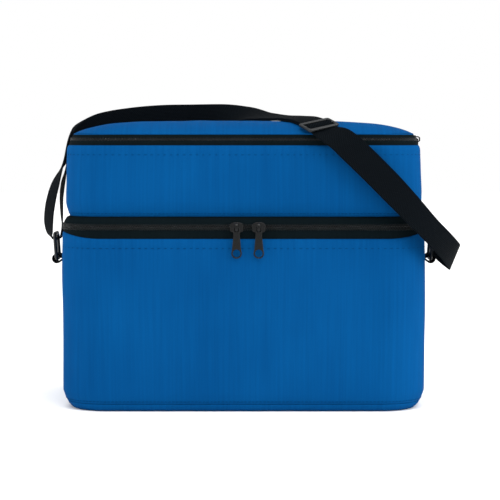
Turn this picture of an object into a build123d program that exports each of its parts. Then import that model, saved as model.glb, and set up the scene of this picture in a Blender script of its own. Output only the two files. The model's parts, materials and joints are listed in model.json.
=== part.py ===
"""Two-compartment insulated cooler bag: soft shells, foam, liners, zippers and a shoulder strap.

Frame: origin at the centre of the underside, +X to the right seen from the front, -Y to the
front, +Z up. Millimetres.
"""
import os
from math import cos, radians, sin

from build123d import *

os.makedirs("parts", exist_ok=True)

# ---- driving dimensions ----
LOWER_WIDTH, LOWER_DEPTH, LOWER_RADIUS = 320.0, 200.0, 42.0
BAND_WIDTH, BAND_DEPTH, BAND_RADIUS = 318.0, 198.0, 41.0
UPPER_WIDTH, UPPER_DEPTH, UPPER_RADIUS = 315.0, 197.0, 41.0
RIM_WIDTH, RIM_DEPTH, RIM_RADIUS = 308.0, 191.0, 38.0

BASE_LIP = 7.0            # height of the base panel's turned-up edge
BASE_FLOOR = 1.4          # thickness of the base panel
MAIN_SPLIT = 165.0        # height of the main zipper's centre line
MAIN_TAPE = 8.4           # width of each tape of the main zipper
LID_SPLIT = 242.9         # height of the lid zipper's centre line
LID_TAPE = 3.8            # visible width of each tape of the lid zipper
MAIN_COIL = 1.5           # height of one half of the main zipper's coil
LID_COIL = 1.0
COIL_GAP = 0.6            # space between the two halves of a coil
COIL_DEPTH = 2.0          # how thick a coil is through the wall
COIL_PROUD = 0.2          # how far a coil stands out of its tape

FABRIC = 1.0
FOAM = 5.0
LINER = 0.6
SKIN_GAP = 0.2            # space between neighbouring layers
FOAM_SLACK = 1.0          # extra space round the lower compartment's foam and liner
FOAM_SHORT = 1.0          # how far a foam wall stops below its liner's mouth
MOUTH_DROP = 1.5          # how far a liner's mouth lies below its zipper's centre line
CROWN = 12.5              # rise of the lid above its rim
BASE_ROUNDING = 4.0       # radius along the base's bottom edge
BASE_WALL = 5.0           # how far the base panel's pocket is inset

HINGE_HALF_WIDTH = 105.0  # half the length of the fabric hinges at the back
WEBBING_WIDTH = 25.0
WEBBING = 1.4

# ---- heights worked out from them ----
MAIN_TAPE_BOTTOM = MAIN_SPLIT - COIL_GAP / 2 - MAIN_COIL - MAIN_TAPE
MAIN_TAPE_TOP = MAIN_SPLIT + COIL_GAP / 2 + MAIN_COIL + MAIN_TAPE
LID_TAPE_BOTTOM = LID_SPLIT - COIL_GAP / 2 - LID_COIL - LID_TAPE
LID_TAPE_TOP = LID_SPLIT + COIL_GAP / 2 + LID_COIL + LID_TAPE
LOWER_MOUTH = MAIN_SPLIT - MOUTH_DROP
DIVIDER_BOTTOM = MAIN_SPLIT + 1.0
DIVIDER_FOAM_TOP = DIVIDER_BOTTOM + LINER + SKIN_GAP + FOAM
UPPER_MOUTH = LID_SPLIT - MOUTH_DROP
CROWN_TOP = LID_TAPE_TOP + CROWN

# outlines of the bag at chosen heights: (height, width, depth, corner radius)
LOWER_PLAN = [(0, LOWER_WIDTH, LOWER_DEPTH, LOWER_RADIUS),
              (MAIN_TAPE_BOTTOM, LOWER_WIDTH, LOWER_DEPTH, LOWER_RADIUS),
              (MAIN_SPLIT, BAND_WIDTH, BAND_DEPTH, BAND_RADIUS)]
UPPER_PLAN = [(MAIN_SPLIT, BAND_WIDTH, BAND_DEPTH, BAND_RADIUS),
              (MAIN_TAPE_TOP, UPPER_WIDTH, UPPER_DEPTH, UPPER_RADIUS),
              (LID_TAPE_BOTTOM, RIM_WIDTH + 4, RIM_DEPTH + 4, RIM_RADIUS + 2),
              (LID_SPLIT, RIM_WIDTH, RIM_DEPTH, RIM_RADIUS),
              (LID_TAPE_TOP, RIM_WIDTH, RIM_DEPTH, RIM_RADIUS)]


def outline_at(plan, height):
    """Width, depth and corner radius of a plan at one height."""
    for (low, *start), (high, *end) in zip(plan, plan[1:]):
        if low <= height <= high:
            share = (height - low) / (high - low)
            return [a + (b - a) * share for a, b in zip(start, end)]
    raise ValueError(f"no outline at {height}")


def stations(plan, low, high):
    """The heights that a wall from low to high needs a section at."""
    return [low] + [level[0] for level in plan if low < level[0] < high] + [high]


def plate_outline(height, width, depth, radius):
    """A rounded rectangle lying at one height."""
    with BuildSketch(Plane.XY.offset(height)) as outline:
        RectangleRounded(width, depth, radius)
    return outline.sketch


def solid_between(plan, low, high, inset):
    """Add the plan's full solid between two heights, inset from its outline."""
    outlines = []
    for height in stations(plan, low, high):
        width, depth, radius = outline_at(plan, height)
        outlines.append(plate_outline(height, width - 2 * inset, depth - 2 * inset, radius - inset))
    loft(outlines, ruled=True)


def wall(plan, low, high, inset, thickness):
    """A closed wall of one layer of the bag, open at the top and bottom."""
    with BuildPart() as core:
        solid_between(plan, low, high, inset + thickness)
    with BuildPart() as layer:
        solid_between(plan, low, high, inset)
        add(core.part, mode=Mode.SUBTRACT)
    return layer


def tub(plan, low, high, inset, thickness):
    """A liner: a wall with a floor at its bottom."""
    with BuildPart() as core:
        solid_between(plan, low + thickness, high, inset + thickness)
    with BuildPart() as liner:
        solid_between(plan, low, high, inset)
        add(core.part, mode=Mode.SUBTRACT)
    return liner


def back_block(low, high, half_width):
    """The block at the back that parts the zipper from the fabric hinge."""
    with BuildPart(Plane.XY.offset(low)) as block:
        with Locations((0, LOWER_DEPTH / 2, 0)):
            Box(2 * half_width, LOWER_DEPTH / 2, high - low,
                align=(Align.CENTER, Align.CENTER, Align.MIN))
    return block


def zipper_strip(plan, low, high, inset, thickness):
    """A zipper tape or coil half: round the front and sides, open at the hinge."""
    ring = wall(plan, low, high, inset, thickness)
    gap = back_block(low - 1, high + 1, HINGE_HALF_WIDTH)
    with BuildPart() as strip:
        add(ring.part)
        add(gap.part, mode=Mode.SUBTRACT)
    return strip


def hinge_strip(plan, low, high):
    """The strip of shell fabric at the back that a compartment folds open on."""
    ring = wall(plan, low, high, 0, FABRIC)
    keep = back_block(low - 1, high + 1, HINGE_HALF_WIDTH - SKIN_GAP)
    with BuildPart() as strip:
        add(ring.part)
        add(keep.part, mode=Mode.INTERSECT)
    return strip


def save(piece, name):
    """Label a finished piece and write its file."""
    piece.part.label = name
    export_step(piece.part, f"parts/{name}.step")


# ---- lower compartment ----
with BuildPart() as base_panel:
    with BuildSketch():
        RectangleRounded(LOWER_WIDTH, LOWER_DEPTH, LOWER_RADIUS)
    extrude(amount=BASE_LIP)
    fillet(base_panel.faces().sort_by(Axis.Z)[0].edges(), radius=BASE_ROUNDING)
    with BuildSketch(Plane.XY.offset(BASE_FLOOR)):
        RectangleRounded(LOWER_WIDTH - 2 * BASE_WALL, LOWER_DEPTH - 2 * BASE_WALL, LOWER_RADIUS - BASE_WALL)
    extrude(amount=BASE_LIP, mode=Mode.SUBTRACT)
save(base_panel, "base_panel")

lower_shell = wall(LOWER_PLAN, BASE_LIP, MAIN_TAPE_BOTTOM, 0, FABRIC)
save(lower_shell, "lower_shell")

foam_inset = FABRIC + SKIN_GAP
liner_inset = foam_inset + FOAM + SKIN_GAP
lower_foam_wall = wall(LOWER_PLAN, BASE_LIP + SKIN_GAP, LOWER_MOUTH - FOAM_SHORT,
                       foam_inset + FOAM_SLACK, FOAM)
save(lower_foam_wall, "lower_foam_wall")

base_inset = BASE_WALL + 0.5
with BuildPart() as lower_foam_base:
    with BuildSketch(Plane.XY.offset(BASE_FLOOR + SKIN_GAP)):
        RectangleRounded(LOWER_WIDTH - 2 * base_inset, LOWER_DEPTH - 2 * base_inset, LOWER_RADIUS - base_inset)
    extrude(amount=FOAM)
save(lower_foam_base, "lower_foam_base")

lower_liner = tub(LOWER_PLAN, BASE_LIP + SKIN_GAP, LOWER_MOUTH, liner_inset + FOAM_SLACK, LINER)
save(lower_liner, "lower_liner")

# ---- upper compartment, with the padded divider as its floor ----
upper_shell = wall(UPPER_PLAN, MAIN_TAPE_TOP, LID_TAPE_BOTTOM, 0, FABRIC)
save(upper_shell, "upper_shell")

with BuildPart() as divider_lining:
    solid_between(UPPER_PLAN, DIVIDER_BOTTOM, DIVIDER_BOTTOM + LINER, COIL_DEPTH + SKIN_GAP)
save(divider_lining, "divider_lining")

with BuildPart() as divider_foam:
    solid_between(UPPER_PLAN, DIVIDER_BOTTOM + LINER + SKIN_GAP, DIVIDER_FOAM_TOP, COIL_DEPTH + SKIN_GAP)
save(divider_foam, "divider_foam")

upper_foam_wall = wall(UPPER_PLAN, DIVIDER_FOAM_TOP + SKIN_GAP, UPPER_MOUTH - FOAM_SHORT, foam_inset, FOAM)
save(upper_foam_wall, "upper_foam_wall")

upper_liner = tub(UPPER_PLAN, DIVIDER_FOAM_TOP + SKIN_GAP, UPPER_MOUTH, liner_inset, LINER)
save(upper_liner, "upper_liner")

# ---- crowned lid ----
# each level of the crown: (inset from the rim, share of the rise)
CROWN_LEVELS = [(0, 0), (9, 0.42), (26, 0.75), (52, 0.94), (80, 1.0)]
CROWN_ROUNDING = 0.35     # how fast the corner radius falls from level to level


def crown_solid(inset, drop):
    """Add the lid's crowned solid, inset at its edge and lowered by drop."""
    outlines = []
    for edge, share in CROWN_LEVELS:
        shrink = edge + inset
        outlines.append(plate_outline(LID_TAPE_TOP + CROWN * share - drop, RIM_WIDTH - 2 * shrink,
                                      RIM_DEPTH - 2 * shrink, RIM_RADIUS - shrink * CROWN_ROUNDING))
    loft(outlines, ruled=True)


with BuildPart() as crown_core:
    crown_solid(FABRIC * 2, FABRIC)
    with BuildSketch(Plane.XY.offset(LID_TAPE_TOP - FABRIC)):
        RectangleRounded(RIM_WIDTH - 4 * FABRIC, RIM_DEPTH - 4 * FABRIC, RIM_RADIUS - FABRIC)
    extrude(amount=2 * FABRIC)
with BuildPart() as lid_shell:
    crown_solid(0, 0)
    add(crown_core.part, mode=Mode.SUBTRACT)
save(lid_shell, "lid_shell")

LID_FOAM_BOTTOM = LID_SPLIT + 1.2
LID_FOAM_EDGE = LID_TAPE_TOP - FABRIC - 2 * SKIN_GAP
with BuildPart() as lid_foam:
    crown_solid(FABRIC * 3, FABRIC + 2 * SKIN_GAP)
    with BuildSketch(Plane.XY.offset(LID_FOAM_BOTTOM)):
        RectangleRounded(RIM_WIDTH - 6 * FABRIC, RIM_DEPTH - 6 * FABRIC, RIM_RADIUS - FABRIC * 3)
    extrude(amount=LID_FOAM_EDGE - LID_FOAM_BOTTOM)
save(lid_foam, "lid_foam")

with BuildPart() as lid_liner:
    with BuildSketch(Plane.XY.offset(LID_FOAM_BOTTOM - SKIN_GAP)):
        RectangleRounded(RIM_WIDTH - 6 * FABRIC, RIM_DEPTH - 6 * FABRIC, RIM_RADIUS - FABRIC * 3)
    extrude(amount=-LINER)
save(lid_liner, "lid_liner")

# ---- zippers and fabric hinges ----
for name, plan, low, high in (
    ("main_zip_tape_lower", LOWER_PLAN, MAIN_TAPE_BOTTOM, MAIN_TAPE_BOTTOM + MAIN_TAPE),
    ("main_zip_tape_upper", UPPER_PLAN, MAIN_TAPE_TOP - MAIN_TAPE, MAIN_TAPE_TOP),
    ("lid_zip_tape_lower", UPPER_PLAN, LID_TAPE_BOTTOM, LID_TAPE_BOTTOM + LID_TAPE),
    ("lid_zip_tape_upper", UPPER_PLAN, LID_TAPE_TOP - LID_TAPE, LID_TAPE_TOP),
):
    save(zipper_strip(plan, low, high, 0, FABRIC), name)

for name, plan, low, height in (
    ("main_zip_coil_lower", LOWER_PLAN, MAIN_SPLIT - COIL_GAP / 2 - MAIN_COIL, MAIN_COIL),
    ("main_zip_coil_upper", UPPER_PLAN, MAIN_SPLIT + COIL_GAP / 2, MAIN_COIL),
    ("lid_zip_coil_lower", UPPER_PLAN, LID_SPLIT - COIL_GAP / 2 - LID_COIL, LID_COIL),
    ("lid_zip_coil_upper", UPPER_PLAN, LID_SPLIT + COIL_GAP / 2, LID_COIL),
):
    save(zipper_strip(plan, low, low + height, -COIL_PROUD, COIL_DEPTH), name)

# the strips cross the split, so the fold runs through their middle
both_plans = LOWER_PLAN[:-1] + UPPER_PLAN
save(hinge_strip(both_plans, MAIN_TAPE_BOTTOM + SKIN_GAP, MAIN_TAPE_TOP - SKIN_GAP), "main_hinge_strip")
save(hinge_strip(UPPER_PLAN, LID_TAPE_BOTTOM + SKIN_GAP, LID_TAPE_TOP - SKIN_GAP), "lid_hinge_strip")

# ---- zipper sliders and their pulls ----
SLIDER_LENGTH, SLIDER_PLATE = 12.0, 1.8
MAIN_SLIDER_HEIGHT, LID_SLIDER_HEIGHT = 9.6, 7.4
SLIDER_CLEAR = 0.4        # between the lid's slider and the tape behind it
MAIN_SLIDER_CLEAR = 0.6   # between the main sliders and the front
SLIDER_CORNER = 2.8       # radius of a slider's corners
LID_FLARE = 1.4           # how far the bag's side stands out below the lid's slider
BRIDGE_BAR = 1.3          # thickness of the bridge that carries the pull
BRIDGE_WIDTH = 2.6
BRIDGE_RISE = 3.0         # gap under the bridge
POST = 1.2                # length of each of the bridge's two posts
PULL_LENGTH, PULL_WIDTH, PULL_NECK = 27.5, 9.4, 6.2
LID_PULL_LENGTH, LID_PULL_WIDTH = 22.0, 7.6
PULL_THICK = 1.6
PULL_HOLE = 3.3           # radius of the round hole in the tab
PULL_HOLE_UP = 0.72       # the hole's height above the tab's end, in widths
PULL_AXIS_UP = 0.5        # the pull's crossbar above the slider's middle
PULL_BAR = 1.2            # height of the crossbar
PULL_WINDOW = 6.2         # the window below the crossbar, which clears the bridge

FRONT = Plane(origin=(0, 0, 0), x_dir=(1, 0, 0), z_dir=(0, -1, 0))
RIGHT_SIDE = Plane(origin=(0, 0, 0), x_dir=(0, 1, 0), z_dir=(1, 0, 0))


def slider_body(face, along, split, stand_off, height):
    """A slider: a face plate with round corners and a bridge that holds the pull."""
    post_at = height / 2 - 1 - POST / 2
    with BuildPart() as slider:
        with BuildSketch(face.offset(stand_off)):
            with Locations((along, split)):
                RectangleRounded(SLIDER_LENGTH, height, SLIDER_CORNER)
        extrude(amount=SLIDER_PLATE)
        with BuildSketch(face.offset(stand_off + SLIDER_PLATE)):
            with Locations((along, split - post_at), (along, split + post_at)):
                Rectangle(BRIDGE_WIDTH, POST)
        extrude(amount=BRIDGE_RISE)
        with BuildSketch(face.offset(stand_off + SLIDER_PLATE + BRIDGE_RISE)):
            with Locations((along, split)):
                Rectangle(BRIDGE_WIDTH, 2 * post_at + POST)
        extrude(amount=BRIDGE_BAR)
    return slider


def pull_tab(face, along, split, middle, length, width):
    """A pull: a crossbar under the bridge, two legs, and a tab with a round hole."""
    axis = split + PULL_AXIS_UP
    window_middle = axis - PULL_BAR / 2 - PULL_WINDOW / 2
    shoulder = split - length / 2
    with BuildPart() as pull:
        with BuildSketch(face.offset(middle - PULL_THICK / 2)):
            with BuildLine():
                Polyline((along - PULL_NECK / 2, axis + PULL_BAR / 2),
                         (along + PULL_NECK / 2, axis + PULL_BAR / 2),
                         (along + PULL_NECK / 2, window_middle - PULL_WINDOW / 2),
                         (along + width / 2, shoulder - 2),
                         (along + width / 2, split - length),
                         (along - width / 2, split - length),
                         (along - width / 2, shoulder - 2),
                         (along - PULL_NECK / 2, window_middle - PULL_WINDOW / 2), close=True)
            make_face()
            with Locations((along, window_middle)):
                Rectangle(BRIDGE_WIDTH + 1, PULL_WINDOW, mode=Mode.SUBTRACT)
            with Locations((along, split - length + width * PULL_HOLE_UP)):
                Circle(PULL_HOLE * width / PULL_WIDTH, mode=Mode.SUBTRACT)
        extrude(amount=PULL_THICK)
        across = Axis.Y if face is FRONT else Axis.X
        fillet(pull.edges().filter_by(across).group_by(Axis.Z)[0], radius=3)
    return pull


SLIDER_AT = {"left": -6.1, "right": 13.6}
MAIN_STAND_OFF = LOWER_DEPTH / 2 + MAIN_SLIDER_CLEAR
PULL_OUT = SLIDER_PLATE + BRIDGE_RISE / 2
for side, along in SLIDER_AT.items():
    save(slider_body(FRONT, along, MAIN_SPLIT, MAIN_STAND_OFF, MAIN_SLIDER_HEIGHT), f"main_slider_{side}")
    save(pull_tab(FRONT, along, MAIN_SPLIT, MAIN_STAND_OFF + PULL_OUT, PULL_LENGTH, PULL_WIDTH),
         f"main_pull_{side}")

LID_SLIDER_Y = -38.0
LID_STAND_OFF = RIM_WIDTH / 2 + LID_FLARE + SLIDER_CLEAR
save(slider_body(RIGHT_SIDE, LID_SLIDER_Y, LID_SPLIT, LID_STAND_OFF, LID_SLIDER_HEIGHT), "lid_slider")
save(pull_tab(RIGHT_SIDE, LID_SLIDER_Y, LID_SPLIT, LID_STAND_OFF + PULL_OUT, LID_PULL_LENGTH,
              LID_PULL_WIDTH), "lid_pull")

# ---- side tabs and the rings they hold ----
RING_HEIGHT, RING_WIDTH = 27.0, 34.0
RING_BAR, RING_THICK = 4.0, 3.2
RING_TILT = 4             # degrees that the rings lean outwards
TAB_AXIS_X, TAB_AXIS_Z = 174.6, 131.6   # the ring's lower bar, which the tab goes round
TAB_WIDTH = 24.0
TAB_HOLE, TAB_WEBBING = 3.4, 1.4
TAB_TAIL = 28.0           # how far the sewn tail runs down the side
BAR_TO_BAR = RING_HEIGHT - RING_BAR
TOP_BAR_X = TAB_AXIS_X + BAR_TO_BAR * sin(radians(RING_TILT))
TOP_BAR_Z = TAB_AXIS_Z + BAR_TO_BAR * cos(radians(RING_TILT))


def side_tab(sign):
    """Webbing sewn to the bag's side, standing out from it and looped round the ring's lower bar."""
    side = sign * (LOWER_WIDTH / 2 + 0.2)
    tail_x = side + sign * TAB_WEBBING / 2
    with BuildPart() as tab:
        with BuildSketch(Plane.XZ.offset(-TAB_WIDTH / 2)):
            with Locations((sign * TAB_AXIS_X, TAB_AXIS_Z)):
                Circle(TAB_HOLE + TAB_WEBBING)
            with Locations((tail_x, TAB_AXIS_Z + TAB_WEBBING - TAB_TAIL / 2)):
                Rectangle(TAB_WEBBING, TAB_TAIL)
            with Locations(((tail_x + sign * TAB_AXIS_X) / 2, TAB_AXIS_Z)):
                Rectangle(abs(sign * TAB_AXIS_X - tail_x), 2 * TAB_WEBBING)
            with Locations((sign * TAB_AXIS_X, TAB_AXIS_Z)):
                Circle(TAB_HOLE, mode=Mode.SUBTRACT)
        extrude(amount=TAB_WIDTH)
    return tab


def strap_ring(sign):
    """A rectangular plastic ring, leaning outwards from its lower bar."""
    lean = radians(RING_TILT)
    up = Vector(sign * sin(lean), 0, cos(lean))
    out = Vector(cos(lean), 0, -sign * sin(lean))
    lower_bar = Vector(sign * TAB_AXIS_X, 0, TAB_AXIS_Z)
    face = Plane(origin=lower_bar + up * (BAR_TO_BAR / 2), x_dir=(0, 1, 0), z_dir=out)
    with BuildPart() as ring:
        with BuildSketch(face.offset(-RING_THICK / 2)):
            RectangleRounded(RING_WIDTH, RING_HEIGHT, 4)
            RectangleRounded(RING_WIDTH - 2 * RING_BAR, RING_HEIGHT - 2 * RING_BAR, 1.2, mode=Mode.SUBTRACT)
        extrude(amount=RING_THICK)
        across = ring.faces().sort_by(Axis(lower_bar, out))
        chamfer(across[0].edges() + across[-1].edges(), length=0.7)
    return ring


for side, sign in (("left", -1), ("right", 1)):
    save(side_tab(sign), f"side_tab_{side}")
    save(strap_ring(sign), f"strap_ring_{side}")

# ---- shoulder strap ----
# Each station is a point on the webbing's centre line and the direction of its width.
STRAP_BEND = TOP_BAR_Z - RING_BAR / 2 - 3.0    # the webbing's lowest point under the left bar
STRAP_ROUTE = [
    ((-175.8, 0, STRAP_BEND), (0.02, 1, 0)),
    ((-180.5, 0, STRAP_BEND + 1.4), (0.1, 1, 0)),
    ((-185.5, 0, 155), (0.3, 0.95, 0)),
    ((-188.5, 0, 166), (0.4, 0.9, 0)),
    ((-187.5, 0, 182), (0.45, 0.88, 0)),
    ((-182, 0, 200), (0.45, 0.88, 0)),
    ((-173, 1, 219), (0.45, 0.88, 0)),
    ((-168.5, 4, 236), (0.4, 0.85, 0.1)),
    ((-161, 15, 250), (0.15, 0.85, 0.4)),
    ((-157, 38, 262.5), (0.05, 0.55, 0.8)),
    ((-144, 67, 267), (0, 0.22, 0.97)),
    ((-120, 87, 267.5), (0, 0.1, 0.99)),
    ((-92, 95, 267.5), (0, 0.05, 1)),
    ((-60, 96, 267.5), (0, 0.05, 1)),
    ((-27, 92, 268), (0.15, 0.2, 0.95)),
    ((-1, 75, 269.5), (0.5, 0.55, 0.55)),
    ((18, 42, 268), (0.75, 0.45, 0.22)),
    ((33, 8, 266), (0.8, 0.45, 0.1)),
    ((47, -28, 265.3), (0.8, 0.55, 0.04)),
    ((57, -56, 263.5), (0.8, 0.6, 0.1)),
    ((67, -77, 259.8), (0.76, 0.6, 0.2)),
    ((76, -91, 255.5), (0.74, 0.58, 0.28)),
    ((86, -102, 247.5), (0.72, 0.4, 0.5)),
    ((98, -106, 234), (0.7, 0.15, 0.66)),
    ((124, -108, 207), (0.68, 0.15, 0.64)),
    ((147, -108, 183), (0.62, 0.35, 0.6)),
    ((167, -99, 162), (0.5, 0.5, 0.62)),
    ((182, -82, 147), (0.4, 0.4, 0.75)),
    ((191, -60, 137), (0.4, 0.15, 0.88)),
    ((193, -38, 135), (0.35, 0.05, 0.92)),
    ((189.5, -20, 138), (0.15, 0.45, 0.85)),
    ((185, -8, 144), (0, 0.85, 0.5)),
    ((181, -1, 149), (0, 1, 0.1)),
    ((176.5, 0, STRAP_BEND), (0, 1, 0)),
    ((171.6, 0, STRAP_BEND + 1.5), (0, 1, 0)),
]
RETURN_SIDE_ROUTE = [
    ((-175.8, 0, STRAP_BEND), (0.02, 1, 0)),
    ((-171.3, 0, STRAP_BEND + 1.6), (0, 1, 0)),
    ((-169.8, 0, 158), (0.05, 1, 0)),
    ((-170.5, 0, 172), (0.1, 1, 0)),
    ((-171, 0, 188), (0.12, 1, 0)),
    ((-170.8, 0, 204), (0.2, 0.98, 0)),
    ((-170.3, 1, 219), (0.35, 0.92, 0)),
]
RETURN_FIRST, RETURN_LAST = 7, 19    # the stations where the doubled stretch starts and ends
ADJUSTER_STATION = 20
RETURN_GAP = 2.6          # from layer to layer, middle to middle, where the webbing is doubled
RIBBON_STEP = 5.0         # distance between a ribbon's sections
SECTIONS_PER_LOFT = 6     # a ribbon is joined from short lofts, which turn only a little each


def width_along(route, knots, share):
    """The width's direction at a share of a route, between its two nearest stations."""
    after = next((k for k, knot in enumerate(knots) if knot >= share), len(knots) - 1)
    before = max(after - 1, 0)
    span = knots[after] - knots[before]
    blend = (share - knots[before]) / span if span else 0
    return Vector(*route[before][1]) * (1 - blend) + Vector(*route[after][1]) * blend


def lay_out(route):
    """Planes across a smooth line through a route, the share of each station, and its length."""
    with BuildLine() as centre_line:
        Spline(*[point for point, width in route])
    curve = centre_line.edge()
    knots = [curve.param_at_point(Vector(*point)) for point, width in route]
    count = int(curve.length / RIBBON_STEP)
    planes = []
    for index in range(count + 1):
        share = index / count
        tangent = curve % share
        width = width_along(route, knots, share)
        width = (width - tangent * width.dot(tangent)).normalized()
        planes.append(Plane(origin=curve @ share, x_dir=width, z_dir=tangent))
    return planes, knots, curve.length


def ribbon(planes):
    """A strip of webbing through a row of planes."""
    outlines = []
    for plane in planes:
        with BuildSketch(plane) as section:
            Rectangle(WEBBING_WIDTH, WEBBING)
        outlines.append(section.sketch)
    with BuildPart() as strip:
        for start in range(0, len(outlines) - 1, SECTIONS_PER_LOFT):
            loft(outlines[start:start + SECTIONS_PER_LOFT + 1], ruled=True)
    return strip


strap_planes, strap_knots, strap_length = lay_out(STRAP_ROUTE)
strap_webbing = ribbon(strap_planes)
save(strap_webbing, "strap_webbing")

# the doubled stretch lies on the bag's side of the strap, a constant gap from it
side_planes, side_knots, side_length = lay_out(RETURN_SIDE_ROUTE)
steps = len(strap_planes) - 1
first, last = (round(strap_knots[station] * steps) for station in (RETURN_FIRST, RETURN_LAST))
doubled = [Plane(origin=plane.origin - plane.y_dir * RETURN_GAP, x_dir=plane.x_dir, z_dir=plane.z_dir)
           for plane in strap_planes[first:last + 1]]
strap_return = ribbon(side_planes + doubled)
save(strap_return, "strap_return")
print(f"webbing from ring to ring {strap_length:.0f} mm, doubled stretch "
      f"{side_length + (last - first + 1) * RIBBON_STEP:.0f} mm; webbing "
      f"{strap_webbing.part.volume / (WEBBING_WIDTH * WEBBING):.0f} mm by its volume")

# ---- adjuster: a three-bar slide lying on the strap ----
ADJUSTER_WIDTH, ADJUSTER_LENGTH, ADJUSTER_THICK = 33.0, 18.0, 2.4
ADJUSTER_SLOT = 4.6
ADJUSTER_BAR = 3.2
ADJUSTER_LIFT = 1.1       # from the webbing's middle to the adjuster's underside
seat = strap_planes[round(strap_knots[ADJUSTER_STATION] * steps)]
slot_offset = (ADJUSTER_BAR + ADJUSTER_SLOT) / 2
with BuildPart() as strap_adjuster:
    underside = Plane(origin=seat.origin + seat.y_dir * ADJUSTER_LIFT, x_dir=seat.x_dir, z_dir=seat.y_dir)
    with BuildSketch(underside):
        RectangleRounded(ADJUSTER_WIDTH, ADJUSTER_LENGTH, 3)
        with Locations((0, slot_offset), (0, -slot_offset)):
            Rectangle(WEBBING_WIDTH + 1.5, ADJUSTER_SLOT, mode=Mode.SUBTRACT)
    extrude(amount=ADJUSTER_THICK)
save(strap_adjuster, "strap_adjuster")
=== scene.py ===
"""The visible surfaces of a two-compartment insulated cooler bag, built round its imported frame."""
import json
from math import cos, pi, radians, sin

import bpy
import numpy as np
from mathutils import Matrix, Vector, noise


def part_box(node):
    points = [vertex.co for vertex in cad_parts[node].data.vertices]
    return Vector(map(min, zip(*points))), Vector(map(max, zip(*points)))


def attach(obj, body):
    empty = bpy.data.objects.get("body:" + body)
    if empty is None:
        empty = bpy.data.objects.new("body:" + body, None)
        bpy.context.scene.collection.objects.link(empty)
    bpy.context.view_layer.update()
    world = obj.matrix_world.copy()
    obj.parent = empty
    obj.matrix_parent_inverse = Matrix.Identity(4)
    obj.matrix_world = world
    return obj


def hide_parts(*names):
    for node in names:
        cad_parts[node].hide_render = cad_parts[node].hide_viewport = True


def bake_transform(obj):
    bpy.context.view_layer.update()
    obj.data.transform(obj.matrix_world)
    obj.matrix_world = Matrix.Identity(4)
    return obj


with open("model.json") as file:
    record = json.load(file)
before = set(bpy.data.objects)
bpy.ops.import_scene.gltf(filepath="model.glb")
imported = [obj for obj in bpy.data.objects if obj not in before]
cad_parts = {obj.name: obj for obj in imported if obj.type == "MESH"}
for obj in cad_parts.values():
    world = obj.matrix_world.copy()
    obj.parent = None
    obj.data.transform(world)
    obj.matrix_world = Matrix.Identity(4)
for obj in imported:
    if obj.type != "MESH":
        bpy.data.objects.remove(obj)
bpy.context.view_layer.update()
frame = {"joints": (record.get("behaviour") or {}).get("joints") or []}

MM = 0.001
COLLECTION = bpy.context.scene.collection


# ---------------------------------------------------------------- sizes from the frame
def low(node, axis):
    """A CAD node's lowest coordinate along an axis (0, 1 or 2)."""
    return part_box(node)[0][axis]


def high(node, axis):
    """A CAD node's highest coordinate along an axis."""
    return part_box(node)[1][axis]


BASE_SEAM = high("base_panel", 2)
LOWER_TOP = high("lower_shell", 2)
MAIN_SPLIT = (high("main_zip_coil_lower", 2) + low("main_zip_coil_upper", 2)) / 2
UPPER_BOTTOM = low("upper_shell", 2)
UPPER_TOP = high("upper_shell", 2)
LID_SPLIT = (high("lid_zip_coil_lower", 2) + low("lid_zip_coil_upper", 2)) / 2
RIM = low("lid_shell", 2)
CROWN = high("lid_shell", 2) - RIM
DIVIDER_LOW = low("divider_lining", 2)
DIVIDER_TOP = high("divider_foam", 2)
HINGE_HALF = high("main_hinge_strip", 0)

lower_half = (high("lower_shell", 0), high("lower_shell", 1))
upper_half = (high("upper_shell", 0), high("upper_shell", 1))
rim_half = (high("lid_shell", 0), high("lid_shell", 1))

# the bag's plan at chosen heights: height, half width, half depth, corner radius
PLAN = np.array([
    (0, *lower_half, 38 * MM),
    (LOWER_TOP, *lower_half, 36 * MM),
    (MAIN_SPLIT, lower_half[0] - 1 * MM, lower_half[1] - 1 * MM, 35 * MM),
    (UPPER_BOTTOM, *upper_half, 36 * MM),
    (UPPER_TOP, rim_half[0] + 2 * MM, rim_half[1] + 2 * MM, 36 * MM),
    (LID_SPLIT, *rim_half, 35 * MM),
    (RIM, *rim_half, 35 * MM),
])

# how many points lie on the long sides, the short sides and each corner
ALONG_X, ALONG_Y, ROUND_CORNER = 120, 44, 20


# ---------------------------------------------------------------- outlines and grids
def straight(start, end, count):
    """Points from start up to, but not including, end."""
    return [Vector(start).lerp(Vector(end), i / count) for i in range(count)]


def outline(height, inset=0.0):
    """Points and outward normals round the bag at one height, from the middle of the back."""
    half_w, half_d, radius = (np.interp(height, PLAN[:, 0], PLAN[:, k]) for k in (1, 2, 3))
    a, b = half_w - radius, half_d - radius
    points, normals = [], []

    def side(start, end, count, normal):
        points.extend(straight(start, end, count))
        normals.extend([Vector(normal)] * count)

    def corner(centre, first):
        for i in range(ROUND_CORNER):
            angle = radians(first + 90 * i / ROUND_CORNER)
            normal = Vector((cos(angle), sin(angle)))
            points.append(Vector(centre) + normal * radius)
            normals.append(normal)

    side((0, half_d), (-a, half_d), ALONG_X // 2, (0, 1))
    corner((-a, b), 90)
    side((-half_w, b), (-half_w, -b), ALONG_Y, (-1, 0))
    corner((-a, -b), 180)
    side((-a, -half_d), (a, -half_d), ALONG_X, (0, -1))
    corner((a, -b), 270)
    side((half_w, -b), (half_w, b), ALONG_Y, (1, 0))
    corner((a, b), 0)
    side((a, half_d), (0, half_d), ALONG_X // 2, (0, 1))
    points, normals = np.array(points), np.array(normals)
    return points - normals * inset, normals


ROUND_COUNT = len(outline(0)[0])

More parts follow.
